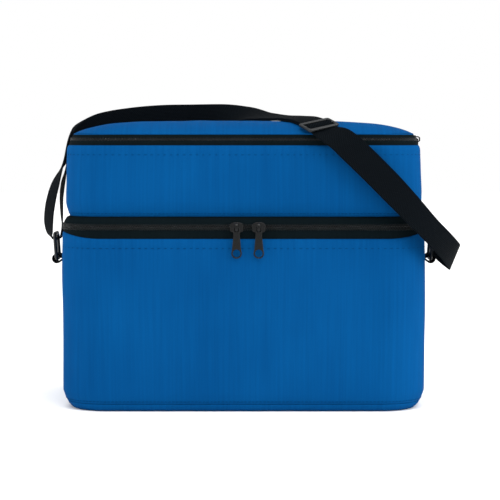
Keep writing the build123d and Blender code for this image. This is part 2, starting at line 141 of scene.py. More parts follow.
SWELL = 3.9 * MM          # how far the bag's ends bulge out
SWELL_HEIGHTS = np.array([2, 16, 234, 243, 247.5]) * MM
SWELL_SHARES = [0, 1, 1, 0.4, 0]
SWELL_MIDDLE = 0.3        # the share of the swell at mid depth, where the tabs are sewn
SWELL_REACH = 50 * MM     # and how far from there it is full
TAB_HEIGHT = 118 * MM     # where the hollow for a side tab is deepest,
TAB_REACH = (26 * MM, 42 * MM)         # and how far it reaches along Y and Z
PULL_PATH = (-38 * MM, 40 * MM)        # the depths that the lid's pull slides between,
PULL_HEIGHT = 232 * MM                 # where its hollow is deepest,
PULL_REACH = (9 * MM, 22 * MM)         # and how far it reaches


def hollow(off_y, off_z, reach):
    """1 at a place on the bag's end where something is sewn or hangs, fading to 0 round it."""
    return np.exp(-(off_y / reach[0]) ** 2 - (off_z / reach[1]) ** 2)


def swell(flat, normals, height):
    """How far each outline point bulges out at the bag's ends, at one height."""
    x, y = flat[:, 0], flat[:, 1]
    rise = np.interp(height, SWELL_HEIGHTS, SWELL_SHARES)
    rise *= SWELL_MIDDLE + (1 - SWELL_MIDDLE) * np.clip(np.abs(y) / SWELL_REACH, 0, 1) ** 2
    tab_hollow = hollow(y, height - TAB_HEIGHT, TAB_REACH)
    pull_hollow = hollow(y - np.clip(y, *PULL_PATH), height - PULL_HEIGHT, PULL_REACH) * (x > 0)
    return SWELL * rise * normals[:, 0] ** 2 * (1 - np.maximum(tab_hollow, pull_hollow))


def arc_lengths(points):
    """The distance from the first point to each of a row's points."""
    steps = np.linalg.norm(np.diff(points, axis=0), axis=1)
    return np.concatenate([[0], np.cumsum(steps)])


def make_mesh(name, vertices, faces, uvs):
    """A smooth-shaded object from points and faces, with a UV for each point."""
    mesh = bpy.data.meshes.new(name)
    mesh.from_pydata([tuple(v) for v in vertices], [], faces)
    layer = mesh.uv_layers.new(name="UVMap")
    loops = np.empty(len(mesh.loops), int)
    mesh.loops.foreach_get("vertex_index", loops)
    layer.data.foreach_set("uv", np.asarray(uvs, float)[loops].ravel())
    mesh.validate()
    mesh.polygons.foreach_set("use_smooth", [True] * len(mesh.polygons))
    mesh.update()
    piece = bpy.data.objects.new(name, mesh)
    COLLECTION.objects.link(piece)
    return piece


def grid_faces(rows, columns, around=True, over=False):
    """Quads of a grid; around joins its last column to its first, over its last row to its first."""
    faces = []
    for r in range(rows if over else rows - 1):
        for c in range(columns if around else columns - 1):
            r2, c2 = (r + 1) % rows, (c + 1) % columns
            faces.append((r * columns + c, r * columns + c2, r2 * columns + c2, r2 * columns + c))
    return faces


def ring_faces(rings, before=False, after=False):
    """Faces of a stack of outline rings, closed to a centre point before its first or after its last."""
    start = 1 if before else 0
    last, centre = start + (rings - 1) * ROUND_COUNT, start + rings * ROUND_COUNT
    next_in_ring = [(c, (c + 1) % ROUND_COUNT) for c in range(ROUND_COUNT)]
    faces = [(0, 1 + c2, 1 + c) for c, c2 in next_in_ring] if before else []
    faces += [tuple(start + i for i in face) for face in grid_faces(rings, ROUND_COUNT)]
    faces += [(last + c, last + c2, centre) for c, c2 in next_in_ring] if after else []
    return faces


def from_level(level, *points):
    """Profile points (height, inset) from pairs in mm, with heights counted from a level."""
    return [(level + z * MM, inset * MM) for z, inset in points]


def fine_profile(profile, step):
    """The same profile of (height, inset) with points at most step apart."""
    points = [profile[0]]
    for start, end in zip(profile, profile[1:]):
        span = max(abs(end[0] - start[0]), abs(end[1] - start[1]))
        count = max(int(np.ceil(span / step)), 1)
        points.extend(tuple(np.array(start) + (np.array(end) - np.array(start)) * i / count)
                      for i in range(1, count + 1))
    return points


def band_mask(half_gap):
    """The columns of a zipper strip, which leaves the middle of the back to the fabric hinge."""
    points, normals = outline(MAIN_SPLIT)
    return np.where(~((normals[:, 1] > 0.99) & (np.abs(points[:, 0]) < half_gap)))[0]


def wall_points(profile, relief=None, lift=None):
    """Points of a wall: one row for each (height, inset), one column for each outline point."""
    rows = []
    for height, inset in profile:
        flat, normals = outline(height, inset)
        out = swell(flat, normals, height)
        if relief is not None:
            out = out + relief(flat, normals, height)
        z = np.full(len(flat), height)
        if lift is not None:
            z = z + lift(normals, height)
        rows.append(np.column_stack([flat + normals * out[:, None], z]))
    return np.array(rows)


def wall(name, profile, step, columns=None, relief=None, lift=None):
    """A closed profile swept round the bag, or over some columns of its outline: a real solid."""
    profile = fine_profile(profile + profile[:1], step)[:-1]
    points = wall_points(profile, relief, lift)
    if columns is not None:
        points = points[:, columns]
    rows, count = points.shape[:2]
    around = columns is None
    u = arc_lengths(outline(MAIN_SPLIT)[0])[:count] if around else arc_lengths(points[0])
    v = arc_lengths(np.array(profile))
    uvs = np.array([(u[c], v[r]) for r in range(rows) for c in range(count)])
    faces = grid_faces(rows, count, around, over=True)
    if not around:
        faces.append(tuple(r * count for r in range(rows)))
        faces.append(tuple(r * count + count - 1 for r in reversed(range(rows))))
    return make_mesh(name, points.reshape(-1, 3), faces, uvs)


EDGE_CROWDING = 1.25      # over 1, a dome's rings crowd together towards its edge


def dome(name, height, inset, rings, relief, face_up=True):
    """A panel filling the outline at a height, raised by relief(x, y, share) from edge (0) to middle (1)."""
    flat = outline(height, inset)[0]
    vertices = []
    for ring in range(rings):
        share = (ring / rings) ** EDGE_CROWDING
        vertices += [(x, y, height + relief(x, y, share)) for x, y in flat * (1 - share)]
    vertices.append((0, 0, height + relief(0, 0, 1.0)))
    faces = ring_faces(rings, after=True)
    if not face_up:
        faces = [tuple(reversed(face)) for face in faces]
    return make_mesh(name, vertices, faces, [(x, y) for x, y, z in vertices])


def thicken(piece, thickness, offset=-1):
    """Give a surface its thickness, as part of its mesh."""
    solid = piece.modifiers.new("thickness", "SOLIDIFY")
    solid.thickness = thickness
    solid.offset = offset
    return bake(piece)


def bake(piece):
    """Apply a piece's modifiers to its mesh."""
    bpy.context.view_layer.update()
    evaluated = piece.evaluated_get(bpy.context.evaluated_depsgraph_get())
    mesh = bpy.data.meshes.new_from_object(evaluated)
    old = piece.data
    piece.modifiers.clear()
    piece.data = mesh
    mesh.name = piece.name
    bpy.data.meshes.remove(old)
    return piece


# ---------------------------------------------------------------- soft relief
def ripple(x, y, z, scale, seed):
    """Smooth noise from -1 to 1 at a place on the bag."""
    return noise.noise(Vector((x * scale + seed, y * scale - seed, z * scale * 0.7)))


TOPSTITCH = 8.5 * MM      # how far the stitched row lies below a panel's top edge
BOTTOM_SEAM = 4 * MM      # how far the lower puckers lie above its bottom edge
STITCH_PITCH = 5.8 * MM
PUCKER = 0.6 * MM
PUCKER_REACH = 4 * MM


def slack(bottom, top, front, side, seed):
    """Outward relief of a soft box: full panels, gentle dents, and puckers beside its seams."""
    def relief(flat, normals, height):
        share = np.clip((height - bottom) / (top - bottom), 0, 1)
        belly = sin(pi * share) ** 0.7 if 0 < share < 1 else 0
        half_w, half_d = np.abs(flat[:, 0]).max(), np.abs(flat[:, 1]).max()
        full_x = np.cos(np.clip(flat[:, 0] / half_w, -1, 1) * pi / 2) ** 0.8
        full_y = np.cos(np.clip(flat[:, 1] / half_d, -1, 1) * pi / 2) ** 0.8
        out = belly * (front * full_x * normals[:, 1] ** 2 + side * full_y * normals[:, 0] ** 2)
        around = arc_lengths(flat)
        near = 0.7 * np.exp(-((height - bottom - BOTTOM_SEAM) / PUCKER_REACH) ** 2)
        near += np.exp(-((top - height - TOPSTITCH) / PUCKER_REACH) ** 2)
        for i, (x, y) in enumerate(flat):
            dent = 1.5 * MM * ripple(x, y, height, 13, seed) + 0.5 * MM * ripple(x, y, height, 40, seed)
            uneven = 0.75 + 0.8 * ripple(x, y, 0, 30, seed + 5)
            pucker = -PUCKER * uneven * (0.5 + 0.5 * cos(2 * pi * around[i] / STITCH_PITCH))
            out[i] += dent * belly + pucker * min(near, 1)
        return out
    return relief


# ---------------------------------------------------------------- materials
class Nodes:
    """A short way to write a material's nodes and links."""

    def __init__(self, name):
        self.material = bpy.data.materials.new(name)
        self.material.use_nodes = True
        self.tree = self.material.node_tree
        self.shader = self.tree.nodes["Principled BSDF"]

    def add(self, kind, **values):
        """A node, with its inputs and settings by name."""
        node = self.tree.nodes.new(kind)
        for key, value in values.items():
            if key in node.inputs:
                node.inputs[key].default_value = value
            else:
                setattr(node, key, value)
        return node

    def link(self, out, into):
        self.tree.links.new(out, into)

    def scaled_uv(self, across, along):
        """The UV map, in metres, scaled to so many units a metre each way."""
        uv = self.add("ShaderNodeTexCoord")
        place = self.add("ShaderNodeMapping")
        place.inputs["Scale"].default_value = (across, along, 1)
        self.link(uv.outputs["UV"], place.inputs["Vector"])
        return place.outputs["Vector"]

    def object_space(self, scale):
        """The object's own space, in metres, scaled alike all ways."""
        place = self.add("ShaderNodeMapping")
        place.inputs["Scale"].default_value = (scale, scale, scale)
        self.link(self.add("ShaderNodeTexCoord").outputs["Object"], place.inputs["Vector"])
        return place.outputs["Vector"]

    def noise(self, vector, detail, roughness=0.5):
        """Noise from 0 to 1, one feature a unit."""
        node = self.add("ShaderNodeTexNoise", Scale=1.0, Detail=detail, Roughness=roughness)
        self.link(vector, node.inputs["Vector"])
        return node.outputs["Fac"]

    def wave(self, vector, direction, scale=0.5, distortion=0.0):
        """Soft stripes from 0 to 1 across a direction."""
        node = self.add("ShaderNodeTexWave", Scale=scale, Distortion=distortion)
        node.bands_direction = direction
        self.link(vector, node.inputs["Vector"])
        return node.outputs["Fac"]

    def ramp(self, value, dark, light, start=0.0, end=1.0):
        """A colour between dark and light as a value goes from start to end."""
        node = self.add("ShaderNodeValToRGB")
        node.color_ramp.elements[0].position = start
        node.color_ramp.elements[1].position = end
        node.color_ramp.elements[0].color = (*dark, 1)
        node.color_ramp.elements[1].color = (*light, 1)
        self.link(value, node.inputs["Fac"])
        return node.outputs["Color"]

    def math(self, operation, a, b):
        """Two values, each a socket or a number, put together."""
        node = self.add("ShaderNodeMath", operation=operation)
        for value, socket in ((a, node.inputs[0]), (b, node.inputs[1])):
            if isinstance(value, (int, float)):
                socket.default_value = value
            else:
                self.link(value, socket)
        return node.outputs[0]

    def multiply(self, a, b):
        """One colour times another."""
        node = self.add("ShaderNodeMix", data_type="RGBA", blend_type="MULTIPLY")
        node.inputs["Factor"].default_value = 1
        self.link(a, node.inputs["A"])
        self.link(b, node.inputs["B"])
        return node.outputs["Result"]

    def bump(self, height, distance, strength):
        """Raise the surface by a height from 0 to 1."""
        node = self.add("ShaderNodeBump", Strength=strength, Distance=distance)
        self.link(height, node.inputs["Height"])
        self.link(node.outputs["Normal"], self.shader.inputs["Normal"])

    def set(self, **values):
        """Set the shader's sockets; an underscore stands for a space."""
        for key, value in values.items():
            self.shader.inputs[key.replace("_", " ")].default_value = value

    def rough(self, value, smooth, coarse):
        """Roughness between smooth and coarse as a value goes from 0 to 1."""
        node = self.add("ShaderNodeMapRange")
        node.inputs["To Min"].default_value = smooth
        node.inputs["To Max"].default_value = coarse
        self.link(value, node.inputs["Value"])
        self.link(node.outputs["Result"], self.shader.inputs["Roughness"])


def woven(name, dark, light, thread):
    """Plain-woven polyester: threads both ways, faint streaks down the warp, uneven dye."""
    n = Nodes(name)
    threads = n.scaled_uv(1 / thread, 1 / thread)
    warp, weft = (n.wave(threads, way, distortion=0.6) for way in "XY")
    streaks = n.noise(n.scaled_uv(420, 9), detail=4, roughness=0.6)
    clouds = n.noise(n.object_space(9), detail=2)
    tone = n.math("ADD", n.math("MULTIPLY", streaks, 0.55), n.math("MULTIPLY", clouds, 0.45))
    colour = n.ramp(tone, dark, light, 0.3, 0.72)
    cells = n.math("MULTIPLY", warp, weft)
    shade = n.ramp(cells, (0.82, 0.82, 0.82), (1, 1, 1))
    n.link(n.multiply(colour, shade), n.shader.inputs["Base Color"])
    n.rough(streaks, 0.62, 0.82)
    relief = n.math("ADD", n.math("MULTIPLY", cells, 0.8), n.math("MULTIPLY", streaks, 0.5))
    n.bump(relief, 0.15 * MM, 0.6)
    n.set(Specular_IOR_Level=0.012)
    return n.material


RIB_PITCH, PICK_PITCH = 2.1 * MM, 1.3 * MM


def webbing_material(name):
    """Ribbed webbing: fine ribs along its length and a herringbone of picks across."""
    n = Nodes(name)
    weave = n.scaled_uv(1 / RIB_PITCH, 1 / PICK_PITCH)
    ribs = n.wave(weave, "X")
    picks = n.wave(weave, "DIAGONAL", scale=0.45, distortion=0.3)
    fuzz = n.noise(n.object_space(900), detail=2)
    relief = n.math("ADD", n.math("MULTIPLY", ribs, picks), n.math("MULTIPLY", fuzz, 0.25))
    n.link(n.ramp(relief, (0.0004, 0.0009, 0.0015), (0.0062, 0.0092, 0.0125), 0.1, 1.1),
           n.shader.inputs["Base Color"])
    n.rough(fuzz, 0.6, 0.85)
    n.bump(relief, 0.5 * MM, 1.0)
    n.set(Specular_IOR_Level=0.02)
    return n.material


def moulded(name, dark, light, rough, specular=0.3):
    """Moulded plastic or lacquered metal: a fine grain and slightly uneven gloss."""
    n = Nodes(name)
    fine = n.noise(n.object_space(2600), detail=2)
    worn = n.noise(n.object_space(140), detail=3)
    n.link(n.ramp(worn, dark, light, 0.35, 0.7), n.shader.inputs["Base Color"])
    n.rough(worn, *rough)
    n.bump(fine, 0.04 * MM, 0.5)
    n.set(Specular_IOR_Level=specular)
    return n.material


def film_material(name):
    """Heat-sealed film liner: soft shine with crinkles and a faint diamond emboss."""
    n = Nodes(name)
    crinkle = n.noise(n.object_space(60), detail=5, roughness=0.65)
    emboss = n.scaled_uv(160, 160)
    diamonds = n.math("MULTIPLY", n.wave(emboss, "X"), n.wave(emboss, "Y"))
    n.link(n.ramp(crinkle, (0.55, 0.57, 0.6), (0.78, 0.8, 0.82), 0.3, 0.7), n.shader.inputs["Base Color"])
    n.rough(crinkle, 0.25, 0.45)
    n.bump(n.math("ADD", crinkle, n.math("MULTIPLY", diamonds, 0.25)), 1.2 * MM, 0.5)
    n.set(Metallic=0.35)
    return n.material


def foam_material(name):
    """Closed-cell foam: fine cells under a thin skin."""
    n = Nodes(name)
    voronoi = n.add("ShaderNodeTexVoronoi", Scale=900.0)
    n.link(n.object_space(1), voronoi.inputs["Vector"])
    cells = voronoi.outputs["Distance"]
    n.link(n.ramp(cells, (0.72, 0.74, 0.76), (0.88, 0.89, 0.9)), n.shader.inputs["Base Color"])
    n.rough(cells, 0.7, 0.9)
    n.bump(cells, 0.3 * MM, 0.5)
    return n.material


BLUE = woven("blue polyester", (0.0006, 0.051, 0.178), (0.0014, 0.077, 0.248), 0.9 * MM)
TAPE = woven("zipper tape", (0.002, 0.0045, 0.0058), (0.0045, 0.0085, 0.0105), 0.7 * MM)
WEBBING = webbing_material("black webbing")
COIL = moulded("nylon coil", (0.0012, 0.0022, 0.0026), (0.0055, 0.008, 0.009), (0.3, 0.45),
               specular=0.22)
PULL = moulded("black lacquer", (0.0005, 0.0008, 0.001), (0.0011, 0.0016, 0.002), (0.12, 0.24),
               specular=0.22)
PLASTIC = moulded("black acetal", (0.002, 0.003, 0.0038), (0.006, 0.008, 0.0095), (0.3, 0.45))
FILM = film_material("film liner")
FOAM = foam_material("white foam")
THREAD_BLUE = woven("blue thread", (0.0003, 0.028, 0.1), (0.0007, 0.045, 0.15), 0.4 * MM)
THREAD_BLACK = woven("black thread", (0.004, 0.006, 0.007), (0.014, 0.017, 0.019), 0.4 * MM)


def finish_piece(piece, body, material, slot, *nodes):
    """Give a piece its material and its body, and hide the CAD nodes it stands for. Its slot is not used."""
    piece.data.materials.clear()
    piece.data.materials.append(material)
    if body:
        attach(piece, body)
    if nodes:
        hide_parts(*nodes)
    return piece


def foam_piece(piece, body, node):
    """Finish a foam layer: its foam material, its body and its CAD node."""
    finish_piece(piece, body, FOAM, "foam", node)


# ---------------------------------------------------------------- the soft box
FABRIC = 1.0 * MM
FOAM_THICK = 5 * MM
FILM_THICK = 0.6 * MM
LINING_THICK = 0.4 * MM
FOAM_INSET = 2.6 * MM     # from the bag's outline to its foam and its flat linings
HEM_RISE = 5.5 * MM       # how much higher the lower shell's hem stands at the sides
HEM_REACH = 40 * MM       # how far below the hem the shell rises with it
HEM_SHARPNESS = 2.6       # how late along a rounded corner the rise begins
PINCH = 4.8 * MM          # how far the upper box is drawn in at its bottom seam


def hem_lift(normals, height):
    """Raise the top of the lower box towards its two ends."""
    near_top = np.clip((height - LOWER_TOP) / HEM_REACH + 1, 0, 1)
    return HEM_RISE * near_top ** 2 * np.abs(normals[:, 0]) ** HEM_SHARPNESS


lower_slack = slack(BASE_SEAM, LOWER_TOP, 3.0 * MM, 1.2 * MM, 3.1)
upper_slack = slack(UPPER_BOTTOM, UPPER_TOP, 2.0 * MM, 0.8 * MM, 8.7)

BASE_EDGE = from_level(0, (0, 8), (0.3, 6.2), (1.0, 4.6), (2.4, 3.0), (4.4, 1.7), (6.7, 1.1))
FLAT_RINGS = 14


def base_panel():
    """The flat underside with its turned-up edge, up to the seam."""
    flat = outline(0, BASE_EDGE[0][1])[0]
    vertices = [(0, 0, 0)]
    for ring in range(FLAT_RINGS):
        vertices += [(x, y, 0.0) for x, y in flat * (ring + 1) / (FLAT_RINGS + 1)]
    vertices += [tuple(p) for p in wall_points(fine_profile(BASE_EDGE, 1.2 * MM)).reshape(-1, 3)]
    faces = ring_faces(len(vertices) // ROUND_COUNT, before=True)
    piece = make_mesh("bag_base", vertices, faces, [(x, y + z) for x, y, z in vertices])
    return thicken(piece, FABRIC)


finish_piece(base_panel(), "lower", BLUE, "shell_fabric", "base_panel")

lower_profile = (
    from_level(0, (7.0, 1.5), (7.3, 0.9), (9, 0.45), (12, 0.15), (16, 0), (24, 0))
    + from_level(LOWER_TOP, (-12, 0), (-3, 0.1), (-0.8, 0.35), (0, 1.0), (-0.6, 1.6), (-12, 1.7))
    + from_level(0, (16, 1.7), (7.6, 2.4)))
lower_shell = wall("bag_lower_shell", lower_profile, 3.2 * MM, relief=lower_slack, lift=hem_lift)
finish_piece(lower_shell, "lower", BLUE, "shell_fabric", "lower_shell")

LINER_BEND = 4 * MM       # where a liner turns from its wall into its floor
LINER_RINGS = 16


def liner(name, bottom, inset, seed, body, node):
    """A film liner: a crinkled wall and a floor in one surface."""
    def crinkle(flat, normals, height):
        """Only ever inwards, so the film stays clear of the foam."""
        return np.array([-0.9 * MM * abs(ripple(x, y, height, 22, seed)) for x, y in flat])

    profile = [(high(node, 2) - 0.5 * MM, inset), (bottom + LINER_BEND, inset),
               (bottom + 1.2 * MM, inset + 1.2 * MM), (bottom, inset + LINER_BEND)]
    vertices = [tuple(p) for p in wall_points(fine_profile(profile, 8 * MM), crinkle).reshape(-1, 3)]
    flat = outline(bottom, inset + LINER_BEND)[0]
    for ring in range(1, LINER_RINGS):
        vertices += [(x, y, bottom + 0.5 * MM * ripple(x, y, 0, 25, 4))
                     for x, y in flat * (1 - ring / LINER_RINGS)]
    faces = ring_faces(len(vertices) // ROUND_COUNT, after=True)
    vertices.append((0, 0, bottom))
    piece = make_mesh(name, vertices, faces, [(x + y, z + y) for x, y, z in vertices])
    finish_piece(thicken(piece, FILM_THICK, 1), body, FILM, "liner", node)


foam_bottom, foam_top = BASE_SEAM + 1 * MM, high("lower_foam_wall", 2)
foam_piece(wall("bag_lower_foam", [
    (foam_bottom, FOAM_INSET), (foam_top, FOAM_INSET), (foam_top, FOAM_INSET + FOAM_THICK),
    (foam_bottom, FOAM_INSET + FOAM_THICK)], 6 * MM), "lower", "lower_foam_wall")
liner("bag_lower_liner", high("lower_foam_base", 2) + 1 * MM, FOAM_INSET + FOAM_THICK + 0.3 * MM, 2.2,
      "lower", "lower_liner")

PAD_RINGS = 12


def pad(name, bottom, thickness, height, inset, crown=0.0):
    """A flat foam pad with rounded edges, crowned a little in its middle."""
    edge = thickness / 2
    face = outline(height, inset + edge)[0]
    vertices = [(0, 0, bottom)]
    for ring in range(1, PAD_RINGS):
        vertices += [(x, y, bottom) for x, y in face * ring / PAD_RINGS]
    for turn in np.linspace(0, pi, 7):
        z = bottom + edge * (1 - cos(turn))
        vertices += [(x, y, z) for x, y in outline(height, inset + edge * (1 - sin(turn)))[0]]
    for ring in range(1, PAD_RINGS):
        share = 1 - ring / PAD_RINGS
        z = bottom + thickness + crown * (1 - share ** 2)
        vertices += [(x, y, z) for x, y in face * share]
    faces = ring_faces(len(vertices) // ROUND_COUNT, before=True, after=True)
    vertices.append((0, 0, bottom + thickness + crown))
    return make_mesh(name, vertices, faces, [(x, y) for x, y, z in vertices])


foam_piece(pad("bag_base_foam", low("lower_foam_base", 2), FOAM_THICK, 0.0, 8 * MM),
           "lower", "lower_foam_base")

pinch = PINCH / MM
upper_profile = (
    from_level(UPPER_BOTTOM, (-1.0, pinch + 0.9), (-1.4, pinch + 0.3), (-1.0, pinch - 0.3),
               (1.5, pinch * 0.66), (6, pinch * 0.3), (11, pinch * 0.07), (18, 0))
    + from_level(UPPER_TOP, (-8, 0), (-1.5, 0.3), (-0.4, 0.8), (0, 1.5), (-1, 2.0), (-8, 1.8))
    + from_level(UPPER_BOTTOM, (18, 1.7), (6, pinch * 0.3 + 1.7)))
upper_shell = wall("bag_upper_shell", upper_profile, 3.0 * MM, relief=upper_slack)
finish_piece(upper_shell, "upper", BLUE, "shell_fabric", "upper_shell")

foam_bottom, foam_top = DIVIDER_TOP + 0.3 * MM, high("upper_foam_wall", 2)
foam_bend = DIVIDER_TOP + 16 * MM      # above this the foam stands as far out as in the lower box
foam_piece(wall("bag_upper_foam", [
    (foam_bottom, PINCH + 2.4 * MM), (foam_bend, FOAM_INSET), (foam_top, FOAM_INSET),
    (foam_top, FOAM_INSET + FOAM_THICK), (foam_bend, FOAM_INSET + FOAM_THICK),
    (foam_bottom, PINCH + FOAM_THICK + 1.6 * MM)], 6 * MM), "upper", "upper_foam_wall")
liner("bag_upper_liner", DIVIDER_TOP + 1 * MM, PINCH + FOAM_THICK + 2.2 * MM, 6.4, "upper", "upper_liner")

PAD_INSET = 3.5 * MM
foam_piece(pad("bag_divider_foam", low("divider_foam", 2), FOAM_THICK, MAIN_SPLIT, PAD_INSET),
           "upper", "divider_foam")


def flat_lining(name, height, rumple, body, node):
    """A film lining across the bag, facing down and a little rumpled away from its edge."""
    def relief(x, y, share):
        return 0.25 * MM * rumple(x, y) * min(share * 6, 1)

    piece = dome(name, height, FOAM_INSET, 16, relief, face_up=False)
    finish_piece(thicken(piece, LINING_THICK), body, FILM, "liner", node)


flat_lining("bag_divider_lining", DIVIDER_LOW + 0.3 * MM, lambda x, y: ripple(x, y, 0, 30, 7),
            "upper", "divider_lining")


# ---------------------------------------------------------------- the crowned lid
CROWN_TAU = 0.14          # how quickly the crown rises from the lid's edge


def lid_relief(x, y, share):
    """The lid's crown over its rim, from the edge (0) to the middle (1), with soft dents."""
    crown = CROWN * (1 - np.exp(-share / CROWN_TAU)) / (1 - np.exp(-1 / CROWN_TAU))
    dents = 0.9 * MM * ripple(x, y, 0, 16, 5.5) + 0.3 * MM * ripple(x, y, 0, 50, 1.5)
    return crown + (dents - 0.6 * MM) * min(share * 8, 1)


lid_shell = thicken(dome("bag_lid_shell", RIM - 0.3 * MM, 0.2 * MM, 46, lid_relief), FABRIC)
finish_piece(lid_shell, "lid", BLUE, "shell_fabric", "lid_shell")

lid_bottom = low("lid_foam", 2)
foam_piece(pad("bag_lid_foam", lid_bottom, RIM - lid_bottom - 1.6 * MM, RIM, PAD_INSET, crown=CROWN * 0.6),
           "lid", "lid_foam")
flat_lining("bag_lid_liner", low("lid_liner", 2) + 0.1 * MM, lambda x, y: abs(ripple(x, y, 0, 30, 9)),
            "lid", "lid_liner")


# ---------------------------------------------------------------- zipper tapes and fabric hinges
tape_columns = band_mask(HINGE_HALF)
hinge_columns = np.array([c for c in range(ROUND_COUNT) if c not in set(tape_columns)])
# the hinge's columns lie on both sides of the first point of the outline
split_at = np.argmax(np.diff(hinge_columns) > 1) + 1
hinge_columns = np.concatenate([[tape_columns[-1]], hinge_columns[split_at:], hinge_columns[:split_at],
                                [tape_columns[0]]])
TAPE_THICK = 0.8 * MM


def sheet_profile(outer):
    """A closed profile of a thin sheet from the (height, inset) points of its outer face."""
    return outer + [(z, inset + TAPE_THICK) for z, inset in reversed(outer)]


def tape(name, outer, body, node, columns=None, lift=None, step=1.6 * MM, material=TAPE, slot="zip_tape"):
    """A strip of woven tape round the bag."""
    if columns is None:
        columns = tape_columns
    piece = wall(name, sheet_profile(outer), step, columns=columns, lift=lift)
    return finish_piece(piece, body, material, slot, node)


def tape_lift(normals, height):
    """The lower tape follows the lower shell's raised hem, less and less towards the coil."""
    share = np.clip((MAIN_SPLIT - 3 * MM - height) / (MAIN_SPLIT - 3 * MM - LOWER_TOP), 0, 1)
    return HEM_RISE * 0.9 * share * np.abs(normals[:, 0]) ** HEM_SHARPNESS


tape("main_zip_lower_tape", from_level(LOWER_TOP, (-3, 1.9), (0, 1.3), (4, 0.5))
     + from_level(MAIN_SPLIT, (-1.2, -0.1)), "lower", "main_zip_tape_lower", lift=tape_lift)
tape("main_zip_upper_tape", from_level(MAIN_SPLIT, (1.2, -0.1), (4, 0))
     + from_level(UPPER_BOTTOM, (-4.5, 0.6), (-2, 1.9), (-0.6, pinch + 0.5)), "upper", "main_zip_tape_upper")
tape("lid_zip_lower_tape", from_level(UPPER_TOP, (-1.5, 1.6), (0.4, 1.2))
     + from_level(LID_SPLIT, (-2, 0), (-0.5, -0.3)), "upper", "lid_zip_tape_lower")
tape("lid_zip_upper_tape", from_level(LID_SPLIT, (0.5, -0.3), (2.2, -0.2))
     + from_level(RIM, (-1, 0.5), (0.5, 1.4)), "lid", "lid_zip_tape_upper")


def hinge(name, outer, node, step):
    """The fabric at the back that joins two bodies, left in neither body with its transform baked into its
    mesh.
    """
    piece = tape(name, outer, None, node, hinge_columns, step=step, material=BLUE, slot="shell_fabric")
    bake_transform(piece)


hinge("main_hinge_fabric",
      from_level(LOWER_TOP, (-1, 1.1)) + from_level(MAIN_SPLIT, (-3, 0.6), (0, 0.3), (3, 0.8))
      + from_level(UPPER_BOTTOM, (1, pinch)),
      "main_hinge_strip", 0.8 * MM)
hinge("lid_hinge_fabric",
      from_level(UPPER_TOP, (-1, 1.5)) + from_level(LID_SPLIT, (-2, 0.2), (0, 0), (2, 0.2))
      + from_level(RIM, (0.5, 1.4)),
      "lid_hinge_strip", 0.6 * MM)


# ---------------------------------------------------------------- repeated small solids
def along_outline(height, inset, step, columns=None, phase=0.0, relief=None):
    """Frames (place, along, up, out) every step round the bag at one height."""
    points = wall_points([(height, inset)], relief)[0]
    normals = outline(height, inset)[1]
    if columns is not None:
        points, normals = points[columns], normals[columns]
    else:
        points, normals = np.vstack([points, points[:1]]), np.vstack([normals, normals[:1]])
    lengths = arc_lengths(points)
    frames = []
    for at in np.arange(phase, lengths[-1], step):
        place = np.array([np.interp(at, lengths, points[:, k]) for k in range(3)])
        ahead = np.array([np.interp(at + step / 2, lengths, points[:, k]) for k in range(3)])
        out = Vector([*(np.interp(at, lengths, normals[:, k]) for k in range(2)), 0]).normalized()
        along = Vector(ahead - place)
        along = (along - out * along.dot(out)).normalized()
        frames.append((Vector(place), along, out.cross(along) * -1, out))
    return frames


def copies(name, shape, frames):
    """One mesh of a small shape repeated in each frame; shape is (points, faces)."""
    points, faces = shape
    vertices, polygons = [], []
    for place, along, up, out in frames:
        start = len(vertices)
        vertices += [place + along * x + up * y + out * z for x, y, z in points]
        polygons += [tuple(start + i for i in face) for face in faces]
    return make_mesh(name, vertices, polygons, [(v.x, v.z) for v in vertices])


def bead(length, width, height, sides=6, rings=4):
    """A long rounded bead lying along X, for a stitch."""
    points, faces = [(-length / 2, 0, 0)], []
    for r in range(1, rings):
        angle = pi * r / rings
        for s in range(sides):
            turn = 2 * pi * s / sides
            points.append((-length / 2 * cos(angle), width / 2 * sin(angle) * cos(turn),
                           height / 2 * sin(angle) * sin(turn)))
    points.append((length / 2, 0, 0))
    last = len(points) - 1
    for s in range(sides):
        s2 = (s + 1) % sides
        faces.append((0, 1 + s2, 1 + s))
        for r in range(rings - 2):
            a, b = 1 + r * sides, 1 + (r + 1) * sides
            faces.append((a + s, a + s2, b + s2, b + s))
        tail = 1 + (rings - 2) * sides
        faces.append((tail + s, tail + s2, last))
    return points, faces


def tooth(reach, width, proud):
    """One loop of a coil: a bar up from its tape to the split, bent over at its tip."""
    path = [(-reach, -0.1 * MM), (-reach * 0.85, proud * 0.75), (-reach * 0.6, proud),
            (-reach * 0.25, proud * 0.6), (0.6 * MM, proud * 0.3)]
    section = [(-1, 0), (-0.6, 0.45), (0.6, 0.45), (1, 0), (0.6, -0.45), (-0.6, -0.45)]
    points = [(side * width / 2, y, z + rise * width) for y, z in path for side, rise in section]
    count = len(section)
    faces = []
    for r in range(len(path) - 1):
        for s in range(count):
            s2 = (s + 1) % count
            faces.append((r * count + s, (r + 1) * count + s, (r + 1) * count + s2, r * count + s2))
    faces.append(tuple(range(count)))
    faces.append(tuple(reversed(range(len(points) - count, len(points)))))
    return points, faces


def coil(zipper, half, body, split, inset, pitch, reach, proud):
    """One half of a coil zipper: its loops, set half a pitch from the other half's."""
    sign, phase = (-1, 0.25) if half == "lower" else (1, 0.75)
    frames = along_outline(split, inset, pitch, tape_columns, phase=pitch * phase)
    frames = [(place, along, up * -sign, out) for place, along, up, out in frames]
    piece = copies(f"{zipper}_{half}_coil", tooth(reach, pitch * 0.42, proud), frames)
    finish_piece(piece, body, COIL, "zip_coil", f"{zipper}_coil_{half}")


